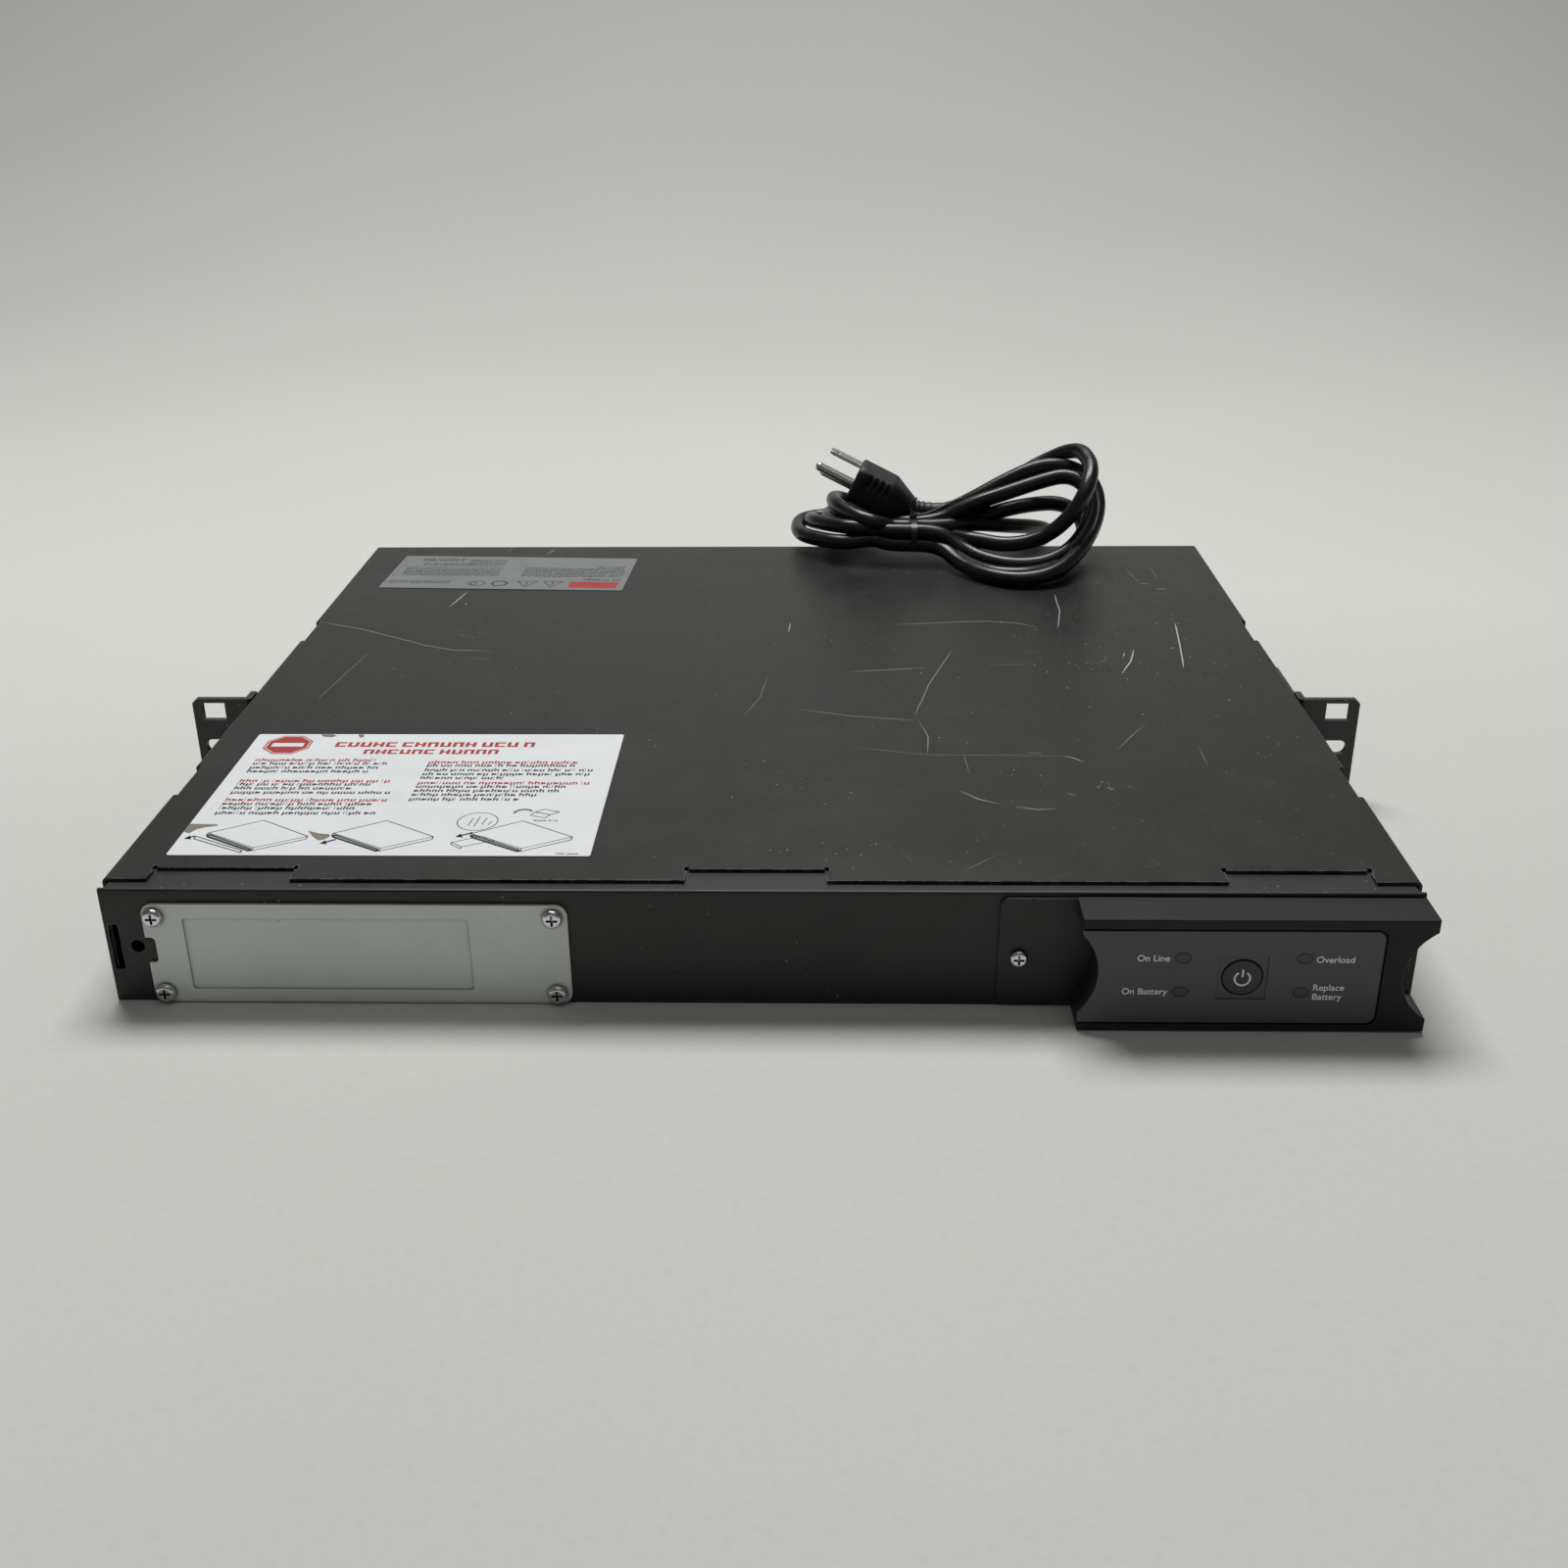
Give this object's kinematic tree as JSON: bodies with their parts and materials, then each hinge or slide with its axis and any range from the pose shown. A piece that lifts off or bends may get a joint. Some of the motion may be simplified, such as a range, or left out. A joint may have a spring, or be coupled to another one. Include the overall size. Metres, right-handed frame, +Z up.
{
  "type": "rackmount UPS",
  "caption": "Slim rack-mount uninterruptible power supply with ears set back on its sides, a battery behind a screwed door, a raised indicator panel, rear outlets and a tied mains lead.",
  "frame": {"origin": "middle of the footprint of the case and its display, on the base", "axes": "+X to the right seen from the front, +Y from the front to the back, +Z up"},
  "size_m": [0.4826, 0.502, 0.0985],
  "materials": {
    "cover_steel": "fine satin black powder coat, scratched",
    "front_steel": "satin black",
    "ear_steel": "satin black",
    "door_steel": "matt grey-green",
    "screw_steel": "zinc plated",
    "black_screw": "black oxide",
    "housing_plastic": "fine-textured black",
    "overlay_film": "satin black film",
    "lens_plastic": "clouded clear",
    "button_plastic": "satin black",
    "black_plastic": "matt black",
    "grey_plastic": "matt grey",
    "white_plastic": "matt",
    "battery_plastic": "matt dark grey",
    "clear_wrap": "shiny film",
    "circuit_board": "green solder mask",
    "tin_plate": "bright tin",
    "brass_contact": "plain",
    "nickel_pin": "nickel",
    "core_steel": "varnished laminations",
    "copper_coil": "varnished tape",
    "heatsink_aluminium": "extruded",
    "capacitor_sleeve": "sleeve",
    "label_paper": "satin paper",
    "ratings_film": "grey film",
    "cord_jacket": "satin black jacket",
    "plug_rubber": "satin black moulding",
    "tie_plastic": "black",
    "wire_insulation": "black insulation",
    "breaker_plastic": "black"
  },
  "bodies": {
    "chassis": {"base_tray": "front_steel", "top_cover": "cover_steel", "front_panel": "front_steel", "rear_panel": "front_steel", "battery_bay_wall": "front_steel", "rack_ear_left": "ear_steel", "rack_ear_right": "ear_steel", "side_screws": "black_screw", "battery_socket": "grey_plastic", "battery_contacts": "brass_contact", "battery_leads": "wire_insulation", "display_bracket": "front_steel", "display_housing": "housing_plastic", "display_overlay": "overlay_film", "indicator_lenses": "lens_plastic", "display_board": "circuit_board", "indicator_leds": "lens_plastic", "button_switch": "black_plastic", "bracket_screws": "black_screw", "display_ribbon": "grey_plastic", "main_board": "circuit_board", "board_standoffs": "brass_contact", "board_screws": "screw_steel", "transformer_core": "core_steel", "transformer_coils": "copper_coil", "heatsinks": "heatsink_aluminium", "power_transistors": "black_plastic", "capacitors": "capacitor_sleeve", "relays": "white_plastic", "mains_leads": "wire_insulation", "fan_frame": "black_plastic", "fan_guard": "tin_plate", "fan_screws": "screw_steel", "outlet_1": "black_plastic", "outlet_2": "black_plastic", "outlet_3": "black_plastic", "outlet_4": "black_plastic", "breaker_body": "breaker_plastic", "breaker_nut": "tin_plate", "serial_port": "black_plastic", "serial_shell": "tin_plate", "network_jacks": "black_plastic", "instruction_label": "label_paper", "ratings_label": "ratings_film", "cord_gland": "plug_rubber", "power_cord": "cord_jacket", "cord_hank": "cord_jacket", "cord_plug": "plug_rubber", "plug_pins": "nickel_pin", "cord_tie": "tie_plastic"},
    "battery_door": {"battery_door": "door_steel", "door_screws": "screw_steel"},
    "battery": {"battery_cells": "battery_plastic", "battery_terminals": "brass_contact", "battery_wrap": "clear_wrap", "battery_plug": "grey_plastic"},
    "power_button": {"power_button": "button_plastic"},
    "breaker_button": {"breaker_button": "breaker_plastic"},
    "fan_rotor": {"fan_rotor": "black_plastic"}
  },
  "joints": [
    {"name": "door_slide", "type": "slide", "parent": "chassis", "child": "battery_door", "axis": [0, -1, 0], "range_m": [0, 0.4]},
    {"name": "battery_slide", "type": "slide", "parent": "chassis", "child": "battery", "axis": [0, -1, 0], "range_m": [0, 0.33]},
    {"name": "power_button_press", "type": "slide", "parent": "chassis", "child": "power_button", "axis": [0, 1, 0], "range_m": [0, 0.0015], "stiffness_N_per_m": 600, "springref_m": -0.0015},
    {"name": "breaker_reset", "type": "slide", "parent": "chassis", "child": "breaker_button", "axis": [0, 1, 0], "range_m": [0, 0.003]},
    {"name": "fan_spin", "type": "hinge", "parent": "chassis", "child": "fan_rotor", "pos_m": [-0.032, 0.183, 0.02185], "axis": [0, 1, 0], "continuous": true}
  ],
  "couplings": [
    {"joint": "battery_slide", "follows": "door_slide", "ratio": 0.82}
  ]
}
